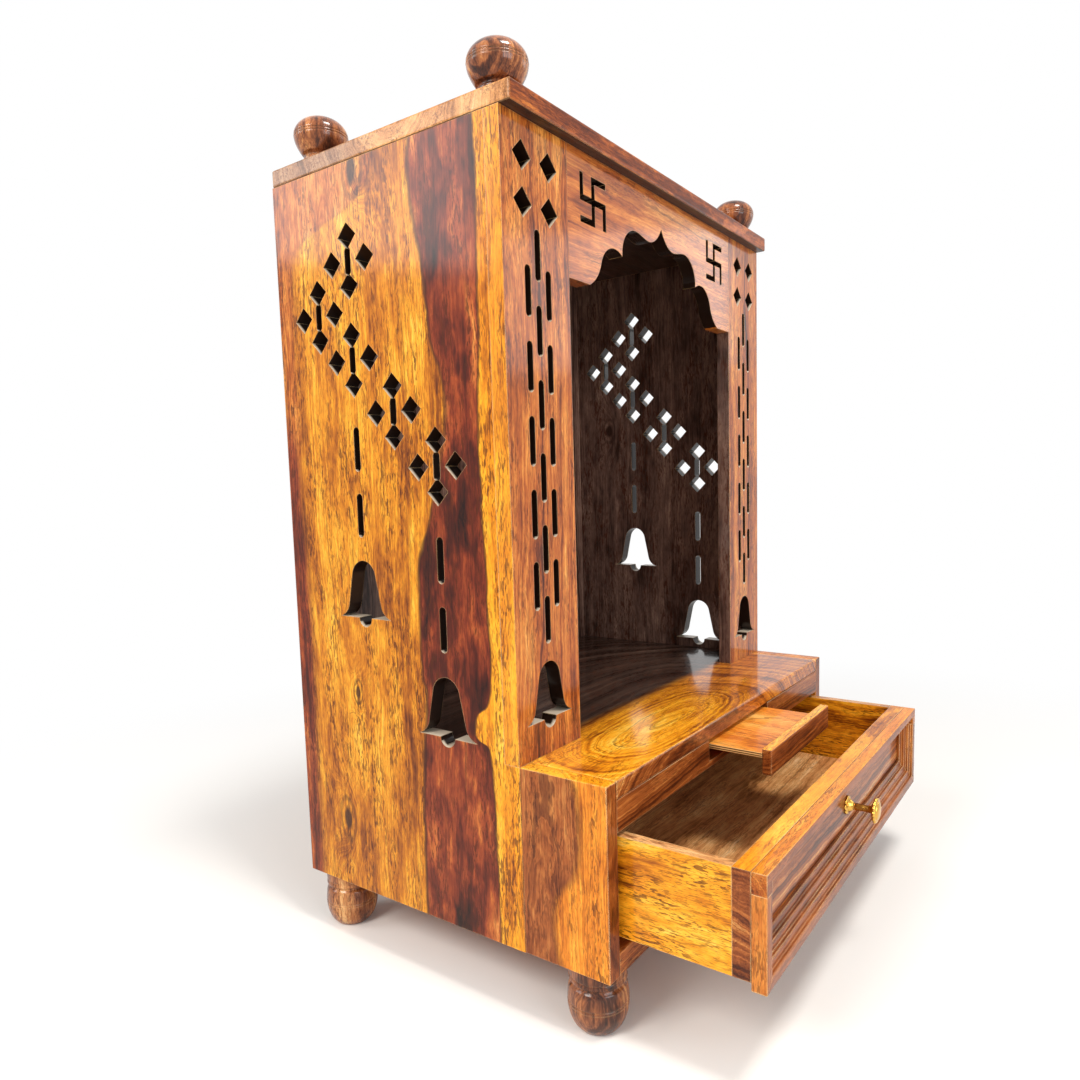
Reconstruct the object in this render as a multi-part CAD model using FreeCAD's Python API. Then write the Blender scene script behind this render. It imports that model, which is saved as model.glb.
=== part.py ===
"""A pooja mandir: a wooden home shrine with a drawer and a pull-out tray under its desk.

Millimetres. +Z is up and the front faces -Y. The model stands as it is used: drawer and tray are
pulled part of the way out. The origin lies on the floor, in the middle of the room it takes up then.
"""
import math
import os

import FreeCAD
import Part
from FreeCAD import Vector

# Overall sizes of the case
case_width = 610.0
shrine_depth = 328.0
base_step = 98.0
base_height = 188.0
shrine_height = 609.0
board = 18.0
back_board = 12.0
floor_board = 12.0

# Roof board
roof_thickness = 19.0
roof_front_overhang = 13.5
roof_edge_round = 2.5

# Front frame: two pierced stiles and an arched rail between them
stile_width = 106.0
arch_crown_margin = 37.0
arch_corner = 38.5
arch_rise = 94.0

# Turned feet and finials
foot_height = 68.0
foot_radius = 30.5
foot_collar_radius = 29.0
foot_collar_height = 18.0
foot_side_gap = 2.5
foot_front_gap = 4.5
foot_back_gap = 0.5
foot_sole_radius = 20.0
foot_belly_share = 0.68
finial_height = 52.0
finial_radius = 29.5
finial_ring_radius = 20.5
finial_lip_radius = 21.5
finial_side_gap = 1.5
finial_front_margin = 24.0
finial_back_margin = 50.0
finial_ring_share = 0.155
finial_belly_share = 0.606
finial_rim_share = 0.75
finial_rim_inset = 2.0
neck_depth = 2.8
neck_height = 4.6

# Pierced pattern of the sides. The crosses' step is a share of the depth, and the rest follows it
slot_width = 9.0
clapper_radius = 10.0
bell_crown_share = 0.45
bell_crown_bow = (0.62, 0.94)
bell_shoulder_share = 0.78
bell_waist_share = 0.64
bell_flare_share = 0.22
bell_lip_bow = (0.75, 0.09)
side_cross_drop = 202.0
side_cross_share = 0.637
trail_share = 0.1768
wreath_share = 0.88
cross_arm_share = 0.44
cross_diamond_share = 0.2414
cross_slot_share = 0.5
side_slot_share = 0.27
side_slot_places = (0.312, 0.719)
side_bell_width = 80.0
side_bell_height = 63.0
side_bell_rise = 14.0

# Pierced pattern of the stiles, measured down from the roof
stile_diamond_half = 14.0
stile_diamond_pitch = 42.0
stile_diamond_drop = 55.5
stile_column_pitch = 16.5
stile_slot_share = 0.682
stile_slot_drop = 65.5
stile_slot_rows = 6
stile_bell_width = 76.0
stile_bell_height = 58.0
stile_bell_gap = 18.0
stile_bell_rise = 36.0

# Swastiks of the arched rail
swastik_size = 50.0
swastik_stroke = 6.5
swastik_inset = 48.0
swastik_drop = 45.5

# Base front: apron with the tray's slot, and the bottom rail
apron_height = 31.0
tray_slot_width = 178.0
tray_slot_height = 24.0
bottom_rail_height = 23.0
running_gap = 5.0
seat_gap = 0.3

# Drawer
drawer_side = 12.0
drawer_front_board = 17.0
drawer_height = 98.0
drawer_length = 370.0
drawer_open = 140.0
drawer_bottom_sheet = 5.0
drawer_bottom_lift = 6.0
drawer_groove = 4.0
runner_width = 22.0
moulding_depth = 14.5
moulding_border = 12.0
moulding_step = 9.5
moulding_steps = 3
top_moulding_border = 10.0
top_moulding_steps = 1
moulding_drop = 7.5

# Brass knob on the drawer
knob_rose_radius = 11.0
knob_rose_height = 9.0
knob_rose_bow = 0.62
knob_stem_radius = 4.0
knob_reach = 36.0
knob_head_radius = 14.0
knob_head_height = 8.0
knob_head_bow = (0.8, 0.2)
knob_plate = 2.0

# Pull-out tray
tray_sheet = 6.0
tray_width = 168.0
tray_length = 240.0
tray_open = 54.0
tray_top_gap = 5.0
tray_lip_width = 200.0
tray_lip_shift = 16.0
tray_lip_thickness = 11.0
tray_lip_height = 29.0
tray_lip_rise = 4.5
tray_rail_wall = 7.0
tray_rail_seat = 8.0

# Places worked out from the sizes above
half_width = case_width / 2
inner_half = half_width - board
z_base = foot_height
z_desk = z_base + base_height
z_top = z_desk + shrine_height
z_roof = z_top + roof_thickness
y_front = -(base_step + shrine_depth - drawer_open + moulding_depth - knob_reach) / 2
y_frame = y_front + base_step
y_back = y_frame + shrine_depth
y_back_inner = y_back - back_board
z_desk_under = z_desk - board
z_apron_bottom = z_desk_under - apron_height
z_floor_top = z_base + floor_board
opening_half = half_width - stile_width
foot_side_margin = foot_side_gap + foot_radius
foot_front_margin = foot_front_gap + foot_radius
foot_back_margin = foot_back_gap + foot_radius
finial_side_margin = finial_side_gap + finial_radius
springing_height = shrine_height - arch_rise - arch_crown_margin
trail_step = shrine_depth * trail_share
wreath_step = trail_step * wreath_share
cross_arm = trail_step * cross_arm_share
cross_diamond_half = trail_step * cross_diamond_share
side_cross_setback = shrine_depth * side_cross_share
side_cross_height = shrine_height - side_cross_drop
side_chain = side_cross_height - 2 * trail_step - side_bell_rise
side_chain_top = cross_arm + cross_diamond_half
side_chain_line = side_chain - side_bell_height - side_chain_top
stile_head = stile_diamond_drop + stile_slot_drop
stile_bell_top = stile_bell_rise + stile_bell_height + stile_bell_gap
stile_line = shrine_height - stile_head - stile_bell_top
stile_slot_pitch = stile_line / (stile_slot_rows - 1 + stile_slot_share / 2)
stile_slot_length = stile_slot_pitch * stile_slot_share


def block(x0, x1, y0, y1, z0, z1):
    """A board between two corners."""
    return Part.makeBox(x1 - x0, y1 - y0, z1 - z0, Vector(x0, y0, z0))


def mirrored(shape):
    """The same piece on the other side of the middle plane."""
    return shape.mirror(Vector(0, 0, 0), Vector(1, 0, 0))


def prism(points, push):
    """A closed outline of straight lines, pushed along a vector."""
    return Part.Face(Part.makePolygon(points + points[:1])).extrude(push)


# Cutters for the piercing. Each is drawn in (across, up) and placed by its caller's frame.

def diamond_edges(half):
    """A square standing on its corner."""
    corners = [(0, -half), (half, 0), (0, half), (-half, 0)]
    return [("line", corners[i], corners[(i + 1) % 4]) for i in range(4)]


def slot_edges(width, length):
    """An upright slot with round ends, centred on its middle."""
    r = width / 2
    straight = length / 2 - r
    return [
        ("line", (r, -straight), (r, straight)),
        ("arc", (r, straight), (0, straight + r), (-r, straight)),
        ("line", (-r, straight), (-r, -straight)),
        ("arc", (-r, -straight), (0, -straight - r), (r, -straight)),
    ]


def bell_edges(width, height):
    """A hanging bell: domed crown, slanting waist, flared lip and a round clapper below it."""
    clapper = clapper_radius
    lip = width / 2
    crown = lip * bell_crown_share
    waist = lip * bell_waist_share
    flare = height * bell_flare_share
    shoulder = height * bell_shoulder_share
    lip_out, lip_up = lip * bell_lip_bow[0], height * bell_lip_bow[1]
    crown_out, crown_up = crown * bell_crown_bow[0], height * bell_crown_bow[1]
    right = [
        ("line", (clapper, 0), (lip, 0)),
        ("arc", (lip, 0), (lip_out, lip_up), (waist, flare)),
        ("line", (waist, flare), (crown, shoulder)),
        ("arc", (crown, shoulder), (crown_out, crown_up), (0, height)),
    ]
    left = [
        ("arc", (0, height), (-crown_out, crown_up), (-crown, shoulder)),
        ("line", (-crown, shoulder), (-waist, flare)),
        ("arc", (-waist, flare), (-lip_out, lip_up), (-lip, 0)),
        ("line", (-lip, 0), (-clapper, 0)),
    ]
    return right + left + [("arc", (-clapper, 0), (0, -clapper), (clapper, 0))]


def swastik_edges(size, stroke):
    """The traditional swastik of the shrine, cut with arms of one width that turn to the right."""
    far = size / 2
    near = far - stroke
    bar = stroke / 2
    quarter = [(bar, bar), (bar, near), (far, near), (far, far), (-bar, far)]
    corners = []
    for turn in range(4):
        for x, z in quarter:
            for _ in range(turn):
                x, z = -z, x
            corners.append((x, z))
    count = len(corners)
    return [("line", corners[i], corners[(i + 1) % count]) for i in range(count)]


def wire_of(edges, place):
    """A closed outline from drawn edges, each point placed by a function."""
    made = []
    for kind, *points in edges:
        ends = [place(*point) for point in points]
        if kind == "line":
            made.append(Part.makeLine(*ends))
        elif kind == "arc":
            made.append(Part.Arc(*ends).toShape())
        else:
            curve = Part.BSplineCurve()
            curve.interpolate(ends)
            made.append(curve.toShape())
    return Part.Wire(made)


def cutter(edges, origin, across, up, push):
    """A solid with the drawn outline in the plane of two directions."""
    wire = wire_of(edges, lambda a, b: origin + across * a + up * b)
    return Part.Face(wire).extrude(push)


def pierce(piece, marks, origin, across, up, push):
    """Cuts a list of (edges, across, up) marks through a board."""
    return piece.cut([cutter(edges, origin + across * u + up * v, across, up, push) for edges, u, v in marks])


# Case

def side_marks():
    """The side's pattern, measured back from the frame's face and up from the desk top."""
    centres = [(side_cross_setback, side_cross_height + 2 * wreath_step),
               (side_cross_setback + wreath_step, side_cross_height + wreath_step)]
    for step in range(3):
        centres.append((side_cross_setback - step * trail_step, side_cross_height - step * trail_step))
    marks = []
    for back, up in centres:
        for du, dv in ((cross_arm, 0), (-cross_arm, 0), (0, cross_arm), (0, -cross_arm)):
            marks.append((diamond_edges(cross_diamond_half), back + du, up + dv))
        marks.append((slot_edges(slot_width, trail_step * cross_slot_share), back, up))
    slot = slot_edges(slot_width, side_chain_line * side_slot_share)
    for back, up in (centres[2], centres[4]):
        for place in side_slot_places:
            marks.append((slot, back, up - side_chain_top - side_chain_line * place))
        marks.append((bell_edges(side_bell_width, side_bell_height), back, up - side_chain))
    return marks


def side_panel():
    """Left side of planks. It steps forward by one board below the desk, under the front frame."""
    x = -half_width
    outline = [(y_frame, z_base), (y_back, z_base), (y_back, z_top), (y_frame + board, z_top),
               (y_frame + board, z_desk), (y_frame, z_desk)]
    panel = prism([Vector(x, y, z) for y, z in outline], Vector(board, 0, 0))
    return pierce(panel, side_marks(), Vector(x, y_frame, z_desk), Vector(0, 1, 0), Vector(0, 0, 1),
                  Vector(board, 0, 0))


def stile_marks():
    """Four diamonds, three staggered columns of slots and a bell, down from the roof."""
    marks = []
    for side in (-1, 1):
        for row in (-1, 1):
            marks.append((diamond_edges(stile_diamond_half), side * stile_diamond_pitch / 2,
                          row * stile_diamond_pitch / 2 - stile_diamond_drop))
    slot = slot_edges(slot_width, stile_slot_length)
    first = -stile_head
    for row in range(stile_slot_rows):
        marks.append((slot, 0, first - row * stile_slot_pitch))
    for row in range(stile_slot_rows - 1):
        for side in (-1, 1):
            marks.append((slot, side * stile_column_pitch, first - (row + 0.5) * stile_slot_pitch))
    marks.append((bell_edges(stile_bell_width, stile_bell_height), 0, stile_bell_rise - shrine_height))
    return marks


def front_stile():
    """Left upright of the front frame. It stands on the base and under the roof."""
    x = -half_width
    plank = block(x, x + stile_width, y_frame, y_frame + board, z_desk, z_top)
    return pierce(plank, stile_marks(), Vector(x + stile_width / 2, y_frame, z_top), Vector(1, 0, 0),
                  Vector(0, 0, 1), Vector(0, board, 0))


def arch_half():
    """The left half of the arch, from the stile to the middle, up from the springing line."""
    span = opening_half - arch_corner

    def at(across, up):
        return -across * span, up * arch_rise

    foot, haunch, cusp, crown = at(1, 0), at(0.854, 0.282), at(0.576, 0.452), at(0.361, 0.819)
    return [
        ("line", (-opening_half, 0), foot),
        ("arc", foot, at(0.913, 0.106), haunch),
        ("arc", haunch, at(0.741, 0.484), cusp),
        ("arc", cusp, at(0.520, 0.723), crown),
        ("curve", crown, at(0.268, 0.789), at(0.181, 0.772), at(0.087, 0.832), at(0.031, 0.920), at(0, 1)),
    ]


def arch_rail():
    """Top rail of the front frame: a lobed arch below, and one swastik over each shoulder."""
    z_spring = z_desk + springing_height
    left = arch_half()
    right = [(kind, *[(-x, z) for x, z in reversed(points)]) for kind, *points in reversed(left)]
    edges = left + right
    below = [(opening_half, 0), (opening_half, -board), (-opening_half, -board), (-opening_half, 0)]
    edges += [("line", below[i], below[i + 1]) for i in range(3)]
    plank = block(-opening_half, opening_half, y_frame, y_frame + board, z_spring, z_top)
    plank = pierce(plank, [(edges, 0, 0)], Vector(0, y_frame, z_spring), Vector(1, 0, 0), Vector(0, 0, 1),
                   Vector(0, board, 0))
    swastik = swastik_edges(swastik_size, swastik_stroke)
    marks = [(swastik, side * (opening_half - swastik_inset), -swastik_drop) for side in (-1, 1)]
    return pierce(plank, marks, Vector(0, y_frame, z_top), Vector(1, 0, 0), Vector(0, 0, 1),
                  Vector(0, board, 0))


def roof_board():
    """Flat board over the case, its long edges slightly rounded."""
    plank = block(-half_width, half_width, y_frame - roof_front_overhang, y_back, z_top, z_roof)
    edges = [edge for edge in plank.Edges if abs(edge.BoundBox.YMax - plank.BoundBox.YMin) < 0.01
             and edge.BoundBox.XLength > board]
    return plank.makeFillet(roof_edge_round, edges)


def desk_board():
    """One board: the shrine's floor behind the frame and the desk in front of it."""
    return block(-inner_half, inner_half, y_front, y_back_inner, z_desk_under, z_desk)


def base_side():
    """Left board of the base, in front of the side panel and flush with it."""
    return block(-half_width, -inner_half, y_front, y_frame, z_base, z_desk)


def back_panel():
    """Upright boards that close the case between the sides."""
    return block(-inner_half, inner_half, y_back_inner, y_back, z_floor_top, z_top)


def floor_panel():
    """Board that closes the base below and carries the feet."""
    return block(-inner_half, inner_half, y_front + board, y_back, z_base, z_floor_top)


def apron():
    """Rail below the desk's edge, cut away at the top for the tray."""
    rail = block(-inner_half, inner_half, y_front, y_front + board, z_apron_bottom, z_desk_under)
    return rail.cut(block(-tray_slot_width / 2, tray_slot_width / 2, y_front, y_front + board,
                          z_desk_under - tray_slot_height, z_desk_under))


def bottom_rail():
    """Rail between the base's sides, below the drawer."""
    return block(-inner_half, inner_half, y_front, y_front + board, z_base, z_base + bottom_rail_height)


def cap(rim_radius, rim, height):
    """Profile of a round crown that rises from its rim to a point on the upright axis."""
    radius = (rim_radius ** 2 + height ** 2) / (2 * height)
    centre = rim + height - radius
    half_angle = math.atan2(rim_radius, rim - centre) / 2
    middle = (radius * math.sin(half_angle), centre + radius * math.cos(half_angle))
    return "arc", (rim_radius, rim), middle, (0, rim + height)


def turned(profile):
    """Turns an outline of (radius, height) edges about the upright axis."""
    face = Part.Face(wire_of(profile, lambda r, z: Vector(r, 0, z)))
    return face.revolve(Vector(0, 0, 0), Vector(0, 0, 1), 360)


def swell(point, widest):
    """Arc between a point and the widest point of a ball, where it runs upright: its middle point."""
    (r, z), (rim, level) = point, widest
    radius = ((rim - r) ** 2 + (z - level) ** 2) / (2 * (rim - r))
    half_angle = math.asin((z - level) / radius) / 2
    return rim - radius * (1 - math.cos(half_angle)), level + radius * math.sin(half_angle)


def foot_profile():
    """Collar, a sunk neck, and a flattened ball that narrows to the sole."""
    ball_top = foot_height - foot_collar_height - neck_height
    sole = (foot_sole_radius, 0)
    widest = (foot_radius, ball_top * foot_belly_share)
    shoulder = (foot_collar_radius, ball_top)
    neck = (foot_collar_radius - neck_depth, ball_top + neck_height / 2)
    collar = (foot_collar_radius, ball_top + neck_height)
    collar_top = (foot_collar_radius, foot_height)
    return [
        ("line", (0, 0), sole),
        ("arc", sole, swell(sole, widest), widest),
        ("arc", widest, swell(shoulder, widest), shoulder),
        ("line", shoulder, neck),
        ("line", neck, collar),
        ("line", collar, collar_top),
        ("line", collar_top, (0, foot_height)),
        ("line", (0, foot_height), (0, 0)),
    ]


def finial_profile():
    """A ring on the roof, a sunk neck, and a ball that swells from its lip to a flat domed crown."""
    ring = finial_height * finial_ring_share
    base, ring_top = (finial_ring_radius, 0), (finial_ring_radius, ring)
    neck = (finial_ring_radius - neck_depth, ring + neck_height / 2)
    lip = (finial_lip_radius, ring + neck_height)
    widest = (finial_radius, finial_height * finial_belly_share)
    rim = (finial_radius - finial_rim_inset, finial_height * finial_rim_share)
    profile = [
        ("line", (0, 0), base),
        ("line", base, ring_top),
        ("line", ring_top, neck),
        ("line", neck, lip),
        ("arc", lip, swell(lip, widest), widest),
        ("arc", widest, swell(rim, widest), rim),
        cap(*rim, finial_height - rim[1]),
        ("line", (0, finial_height), (0, 0)),
    ]
    return [(kind, *[(r, z + z_roof) for r, z in points]) for kind, *points in profile]


# Drawer: it runs on two rails, and its face closes flush between the base's sides

drawer_half = inner_half - running_gap
z_runner_top = z_base + bottom_rail_height + running_gap + moulding_drop
z_drawer = z_runner_top + seat_gap
z_drawer_top = z_drawer + drawer_height
z_face_bottom = z_drawer - moulding_drop
y_face = y_front - drawer_open
y_field = y_face + moulding_depth
y_box = y_field + drawer_front_board
y_drawer_back = y_field + drawer_length
z_sheet = z_drawer + drawer_bottom_lift


def drawer_runner():
    """Left rail under the drawer's side, along the inside of the case, clear of the closed face."""
    start = y_front + moulding_depth + running_gap
    return block(-inner_half, -inner_half + runner_width, start, y_back_inner, z_floor_top, z_runner_top)


def drawer_groove_cut():
    """Room for the bottom sheet in the drawer's sides and front."""
    return block(-drawer_half + drawer_side - drawer_groove, drawer_half - drawer_side + drawer_groove,
                 y_box - drawer_groove, y_drawer_back, z_sheet, z_sheet + drawer_bottom_sheet)


def drawer_side_board():
    """Left side of the drawer, grooved for the bottom."""
    side = block(-drawer_half, -drawer_half + drawer_side, y_box, y_drawer_back, z_drawer, z_drawer_top)
    return side.cut(drawer_groove_cut())


def drawer_front():
    """Board behind the moulding. Its middle is the field that the moulding frames."""
    front = block(-drawer_half, drawer_half, y_field, y_box, z_drawer, z_drawer_top)
    return front.cut(drawer_groove_cut())


def drawer_back():
    """Rear board between the drawer's sides, standing on the bottom sheet."""
    inner = drawer_half - drawer_side
    return block(-inner, inner, y_drawer_back - drawer_side, y_drawer_back, z_sheet + drawer_bottom_sheet,
                 z_drawer_top)


def drawer_bottom():
    """Thin sheet held in the grooves."""
    return drawer_groove_cut()


def moulding_width(border, steps):
    """Width of a moulding's section, from the face board's edge to the field."""
    return border + steps * moulding_step


def moulding_profile(border, steps):
    """Section of the moulding: flat border, then equal steps down to the field."""
    points = [(0, 0), (0, moulding_depth), (border, moulding_depth)]
    drop = moulding_depth / (steps + 1)
    for step in range(steps):
        depth = moulding_depth - (step + 1) * drop
        points.append((border + step * moulding_step, depth))
        points.append((border + (step + 1) * moulding_step, depth))
    points.append((moulding_width(border, steps), 0))
    return points


def moulding(corner, along, length, inward, border=moulding_border, steps=moulding_steps):
    """One stepped strip of the face, standing off the field along -Y, with square ends."""
    out = Vector(0, -1, 0)
    section = [corner + inward * across + out * depth for across, depth in moulding_profile(border, steps)]
    return prism(section, along * length)


def mitre(strip, corner, along, inward):
    """Cuts a strip's end at 45 degrees through the face board's corner."""
    reach = 2 * moulding_width(moulding_border, moulding_steps)
    wedge = [corner, corner + inward * reach, corner + inward * reach + along * reach]
    return strip.cut(prism(wedge, Vector(0, -moulding_depth, 0)))


def face_frame():
    """Mouldings round the field: three wide ones mitred below, a narrow one across the top."""
    width = 2 * drawer_half
    height = z_drawer_top - z_face_bottom - moulding_width(top_moulding_border, top_moulding_steps)
    x, z = Vector(1, 0, 0), Vector(0, 0, 1)
    low_left = Vector(-drawer_half, y_field, z_face_bottom)
    low_right = Vector(drawer_half, y_field, z_face_bottom)
    top_left = Vector(-drawer_half, y_field, z_drawer_top)
    bottom = mitre(mitre(moulding(low_left, x, width, z), low_left, x, z), low_right, x * -1, z)
    left = mitre(moulding(low_left, z, height, x), low_left, z, x)
    return {
        "moulding_top": moulding(top_left, x, width, z * -1, top_moulding_border, top_moulding_steps),
        "moulding_bottom": bottom,
        "moulding_left": left,
        "moulding_right": mirrored(left),
    }


def knob_parts():
    """Brass rose against the field, and the stem with its round head."""
    field_low = z_face_bottom + moulding_width(moulding_border, moulding_steps)
    field_high = z_drawer_top - moulding_width(top_moulding_border, top_moulding_steps)
    head_back = knob_reach - knob_head_height
    rose = [
        ("line", (0, 0), (knob_rose_radius, 0)),
        ("line", (knob_rose_radius, 0), (knob_rose_radius, knob_plate)),
        ("arc", (knob_rose_radius, knob_plate),
         (knob_rose_radius * knob_rose_bow, knob_rose_height * knob_rose_bow),
         (knob_stem_radius, knob_rose_height)),
        ("line", (knob_stem_radius, knob_rose_height), (0, knob_rose_height)),
        ("line", (0, knob_rose_height), (0, 0)),
    ]
    brim = head_back + knob_head_height / 2
    head = [
        ("line", (0, knob_rose_height), (knob_stem_radius, knob_rose_height)),
        ("line", (knob_stem_radius, knob_rose_height), (knob_stem_radius, head_back)),
        ("arc", (knob_stem_radius, head_back),
         (knob_head_radius * knob_head_bow[0], head_back + knob_head_height * knob_head_bow[1]),
         (knob_head_radius, brim)),
        cap(knob_head_radius, brim, knob_reach - brim),
        ("line", (0, knob_reach), (0, knob_rose_height)),
    ]
    pieces = {"knob_rose": turned(rose), "knob_head": turned(head)}
    for piece in pieces.values():
        piece.rotate(Vector(0, 0, 0), Vector(1, 0, 0), 90)
        piece.translate(Vector(0, y_field, (field_low + field_high) / 2))
    return pieces


# Tray: a thin sheet that slides between the desk and the drawer

z_tray_top = z_desk_under - tray_top_gap
z_tray = z_tray_top - tray_sheet
y_tray_lip = y_front - running_gap - tray_open


def tray_rail():
    """Left rail behind the apron: a rebated strip that carries and guides the tray's edge."""
    edge = -tray_width / 2
    outer = edge - running_gap - tray_rail_wall
    inner = edge + tray_rail_seat
    start = y_front + board
    rail = block(outer, inner, start, start + tray_length, z_apron_bottom, z_desk_under)
    return rail.cut(block(edge - running_gap, inner, start, start + tray_length, z_tray - seat_gap,
                          z_desk_under))


def tray_board():
    """Sheet of the tray, behind its lip."""
    return block(-tray_width / 2, tray_width / 2, y_tray_lip, y_tray_lip + tray_length, z_tray, z_tray_top)


def tray_lip():
    """Front strip of the tray. It hangs over the sheet's front edge and covers the slot."""
    left = tray_lip_shift - tray_lip_width / 2
    z = z_tray_top + tray_lip_rise
    return block(left, left + tray_lip_width, y_tray_lip - tray_lip_thickness, y_tray_lip,
                 z - tray_lip_height, z)


def build():
    """All pieces by name."""
    parts = {
        "side_panel_left": side_panel(),
        "front_stile_left": front_stile(),
        "base_side_left": base_side(),
        "drawer_runner_left": drawer_runner(),
        "tray_rail_left": tray_rail(),
        "drawer_side_left": drawer_side_board(),
    }
    for name in list(parts):
        parts[name.replace("left", "right")] = mirrored(parts[name])
    parts.update({
        "arch_rail": arch_rail(),
        "roof_board": roof_board(),
        "desk_board": desk_board(),
        "back_panel": back_panel(),
        "floor_panel": floor_panel(),
        "apron": apron(),
        "bottom_rail": bottom_rail(),
        "drawer_front": drawer_front(),
        "drawer_back": drawer_back(),
        "drawer_bottom": drawer_bottom(),
        "tray_board": tray_board(),
        "tray_lip": tray_lip(),
    })
    parts.update(face_frame())
    parts.update(knob_parts())
    for side, sign in (("left", -1), ("right", 1)):
        foot_x = sign * (half_width - foot_side_margin)
        finial_x = sign * (half_width - finial_side_margin)
        for end, foot_y, finial_y in (("front", y_front + foot_front_margin, y_frame + finial_front_margin),
                                      ("back", y_back - foot_back_margin, y_back - finial_back_margin)):
            foot = turned(foot_profile())
            foot.translate(Vector(foot_x, foot_y, 0))
            finial = turned(finial_profile())
            finial.translate(Vector(finial_x, finial_y, 0))
            parts[f"foot_{end}_{side}"] = foot
            parts[f"finial_{end}_{side}"] = finial
    return parts


os.makedirs("parts", exist_ok=True)
for name, shape in build().items():
    solids = shape.Solids
    assert len(solids) == 1 and shape.isValid(), name
    solids[0].exportStep("parts/" + name + ".step")
    box = shape.BoundBox
    print(f"{name:20s} {shape.Volume / 1000:9.1f} cm3  x {box.XMin:7.1f} {box.XMax:7.1f}"
          f"  y {box.YMin:7.1f} {box.YMax:7.1f}  z {box.ZMin:7.1f} {box.ZMax:7.1f}")
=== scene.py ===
# %% [markdown]
# # A pooja mandir in sheesham
#
# This lesson dresses a home shrine: a pierced, arched cabinet over a desk, with a thin tray and a
# drawer that pull out below. Its boards, joints and cut-outs are solids already. What is left for
# Blender is what a polisher and a turner would give them: grain, heartwood, knots, lacquer, eased
# edges, and the small curves of feet, finials, moulding and brass.

# %% Load the frame
import math

import bmesh
import bpy
import numpy as np
from mathutils import Matrix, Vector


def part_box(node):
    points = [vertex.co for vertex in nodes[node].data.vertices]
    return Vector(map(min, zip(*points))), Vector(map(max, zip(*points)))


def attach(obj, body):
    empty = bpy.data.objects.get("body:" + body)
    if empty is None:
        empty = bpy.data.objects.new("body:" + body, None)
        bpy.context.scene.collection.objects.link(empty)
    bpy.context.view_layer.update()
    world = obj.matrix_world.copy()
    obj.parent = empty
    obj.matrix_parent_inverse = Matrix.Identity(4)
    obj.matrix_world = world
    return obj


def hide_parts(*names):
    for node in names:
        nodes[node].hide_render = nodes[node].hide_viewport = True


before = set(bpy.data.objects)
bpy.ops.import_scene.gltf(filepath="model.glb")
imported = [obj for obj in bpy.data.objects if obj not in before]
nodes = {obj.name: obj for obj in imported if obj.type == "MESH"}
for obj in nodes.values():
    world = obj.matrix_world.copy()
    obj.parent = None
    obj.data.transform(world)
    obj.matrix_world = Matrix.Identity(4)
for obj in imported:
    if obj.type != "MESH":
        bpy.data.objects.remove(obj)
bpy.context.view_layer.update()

# %% [markdown]
# ## The camera
#
# The picture was taken from the left and a little above the middle, with a wide phone lens held
# slightly askew. Its place was worked out from the corners of the case, so it is tied to two
# boards: the front frame gives the depth that the numbers count from, and the side panel's foot
# gives the height.

# %% Camera
def put(name, data):
    """A new object that carries this data, linked to the scene."""
    thing = bpy.data.objects.new(name, data)
    bpy.context.scene.collection.objects.link(thing)
    return thing


MM = 0.001
y_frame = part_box("front_stile_left")[0].y
z_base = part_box("side_panel_left")[0].z
VIEW_RIGHT = np.array((0.5747533, -0.81789838, -0.02647413))
VIEW_DOWN = np.array((-0.09495548, -0.03452424, -0.99488267))
VIEW_FORWARD = np.array((0.81279893, 0.57432596, -0.09750685))
EYE_FROM_FRAME = np.array((-886.31, -467.0, 458.42)) * MM
SENSOR_WIDTH, FOCAL_LENGTH = 36.0, 26.587
SHIFT_X, SHIFT_Y = -0.0202, 0.0205

camera_data = bpy.data.cameras.new("camera")
camera_data.sensor_width = SENSOR_WIDTH
camera_data.lens = FOCAL_LENGTH
camera_data.shift_x = SHIFT_X
camera_data.shift_y = SHIFT_Y
camera = put("camera", camera_data)
placing = np.eye(4)
placing[:3, 0] = VIEW_RIGHT
placing[:3, 1] = -VIEW_DOWN
placing[:3, 2] = -VIEW_FORWARD
placing[:3, 3] = EYE_FROM_FRAME + (0, y_frame, z_base)
camera.matrix_world = Matrix(placing.tolist())
bpy.context.scene.camera = camera
print("camera at", placing[:3, 3].round(3))

# %% [markdown]
# ## Surfaces from arrays
#
# Every new piece is a grid of points worked out with numpy: its rows are stations along a path and
# its columns go round a closed section. One helper joins neighbours into quads and closes both
# ends, welds points that fall together, and turns all faces outward.

# %% From a grid of points to a mesh
WELD = 2e-6
SLIVER = 1e-7


def skin(name, grid, body, stands_for=(), smooth=True, angle=35.0):
    """Mesh from points[station, around]: quads between neighbours, and one face over each end."""
    stations, around = grid.shape[:2]
    index = np.arange(stations * around).reshape(stations, around)
    beside = np.roll(index, -1, axis=1)
    quads = np.stack([index[:-1], beside[:-1], beside[1:], index[1:]], axis=-1).reshape(-1, 4)
    ends = [index[0][::-1].tolist(), index[-1].tolist()]
    mesh = bpy.data.meshes.new(name)
    mesh.from_pydata(grid.reshape(-1, 3).tolist(), [], quads.tolist() + ends)
    work = bmesh.new()
    work.from_mesh(mesh)
    bmesh.ops.remove_doubles(work, verts=work.verts, dist=WELD)
    bmesh.ops.dissolve_degenerate(work, edges=work.edges, dist=SLIVER)
    bmesh.ops.recalc_face_normals(work, faces=work.faces)
    work.to_mesh(mesh)
    work.free()
    if smooth:
        mesh.shade_smooth()
        mesh.set_sharp_from_angle(angle=math.radians(angle))
    piece = put(name, mesh)
    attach(piece, body)
    if stands_for:
        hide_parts(*stands_for)
    return piece


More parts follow.
